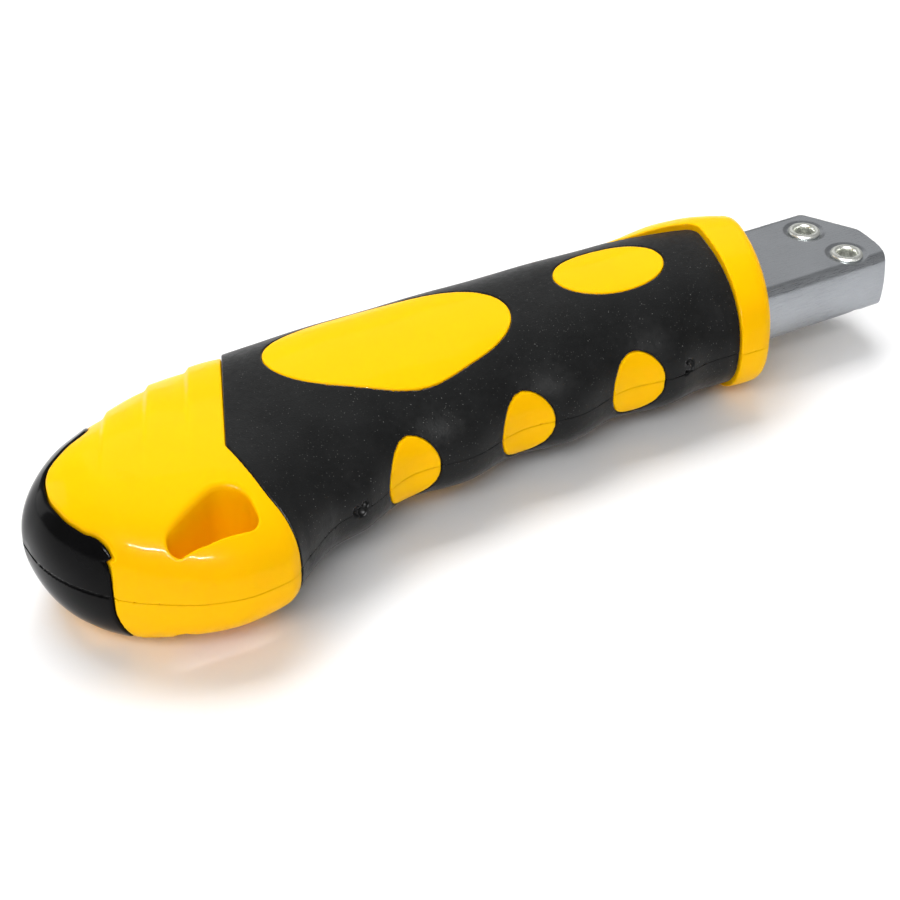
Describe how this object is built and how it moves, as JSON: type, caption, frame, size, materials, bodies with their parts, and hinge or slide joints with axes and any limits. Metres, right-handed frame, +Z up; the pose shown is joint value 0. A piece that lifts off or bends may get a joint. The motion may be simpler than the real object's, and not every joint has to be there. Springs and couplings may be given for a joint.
{
  "type": "utility knife",
  "caption": "Snap-off utility knife with a curved soft-grip handle, sliding blade in a steel nose, lanyard hole and a tail drawer for spare blades.",
  "frame": {"origin": "middle of the knife's footprint, on the surface it lies on", "axes": "+X towards the nose, +Y towards the spine, +Z up out of the right face; the knife lies on its left face"},
  "size_m": [0.1658, 0.0566, 0.0256],
  "materials": {
    "yellow_shell": "glossy moulded",
    "grip_rubber": "satin, fine texture",
    "cap_rubber": "semi-gloss",
    "nose_steel": "brushed",
    "guide_steel": "ground",
    "rivet_steel": "satin plated",
    "channel_steel": "bright",
    "blade_steel": "ground",
    "carrier_plastic": "matte",
    "spring_steel": "blued",
    "button_plastic": "matte, ribbed",
    "core_plastic": "matte",
    "tray_plastic": "matte",
    "screw_steel": "zinc plated",
    "insert_brass": "knurled"
  },
  "bodies": {
    "handle": {"body_right": "yellow_shell", "body_left": "yellow_shell", "grip_right": "grip_rubber", "grip_left": "grip_rubber", "nose_shell": "nose_steel", "guide_right": "guide_steel", "guide_left": "guide_steel", "rivets_right": "rivet_steel", "rivets_left": "rivet_steel", "blade_channel": "channel_steel", "body_screws": "screw_steel", "screw_inserts": "insert_brass"},
    "blade_sled": {"blade_carrier": "carrier_plastic", "blade": "blade_steel", "lock_spring": "spring_steel"},
    "button": {"thumb_button": "button_plastic"},
    "tail_drawer": {"tail_cap": "cap_rubber", "cap_core": "core_plastic", "magazine_tray": "tray_plastic", "spare_blades": "blade_steel", "tray_spring": "spring_steel"}
  },
  "joints": [
    {"name": "blade_slide", "type": "slide", "parent": "handle", "child": "blade_sled", "axis": [1, 0, 0], "range_m": [0, 0.075], "deforming": ["lock_spring"]},
    {"name": "button_press", "type": "slide", "parent": "blade_sled", "child": "button", "axis": [0, 0, 1], "range_m": [0, 0.0015], "stiffness_N_per_m": 1500, "springref_m": -0.001, "deforming": ["lock_spring"]},
    {"name": "drawer_pull", "type": "slide", "parent": "handle", "child": "tail_drawer", "axis": [-1, 0, 0], "range_m": [0, 0.09]}
  ]
}
